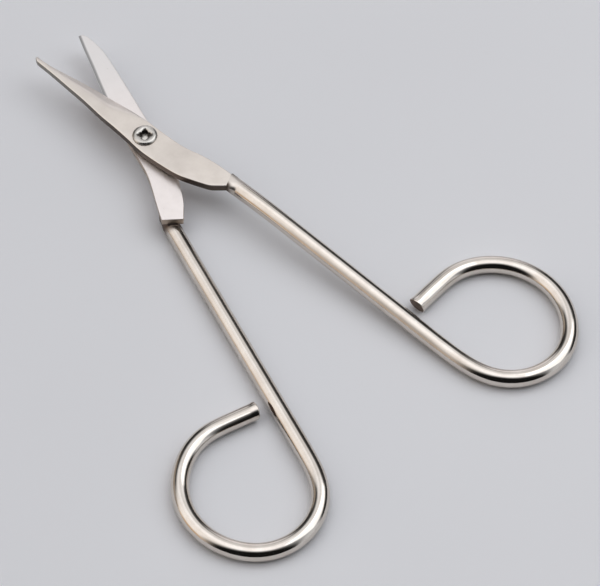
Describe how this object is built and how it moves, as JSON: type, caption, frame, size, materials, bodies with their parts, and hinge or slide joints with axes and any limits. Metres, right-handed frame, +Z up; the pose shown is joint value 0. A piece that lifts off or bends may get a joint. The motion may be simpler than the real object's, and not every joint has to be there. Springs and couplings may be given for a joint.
{
  "type": "wire-handled scissors",
  "caption": "Small surgical-pattern scissors: flat ground blades with one pointed and one blunt tip, joined by a hollow rivet, on handles bent from round wire into open finger rings.",
  "frame": {"origin": "middle of the footprint of the scissors, lying open, on the surface that they rest on", "axes": "+Y towards the blade tips, halfway between the two limbs, +Z up along the pivot's axis, +X towards the finger ring of the upper limb"},
  "size_m": [0.082, 0.1122, 0.0073],
  "materials": {
    "satin_plate": "satin, finely ground, warm grey",
    "polished_wire": "bright polished nickel plate",
    "rivet_steel": "polished, darker in the hollow"
  },
  "bodies": {
    "rear_limb": {"rear_blade": "satin_plate", "rear_handle": "polished_wire", "pivot_rivet": "rivet_steel"},
    "front_limb": {"front_blade": "satin_plate", "front_handle": "polished_wire"}
  },
  "joints": [
    {"name": "pivot", "type": "hinge", "parent": "rear_limb", "child": "front_limb", "pos_m": [0, 0.02732, 0.00483], "axis": [0, 0, 1], "range_deg": [-21.2, 68.8]}
  ]
}
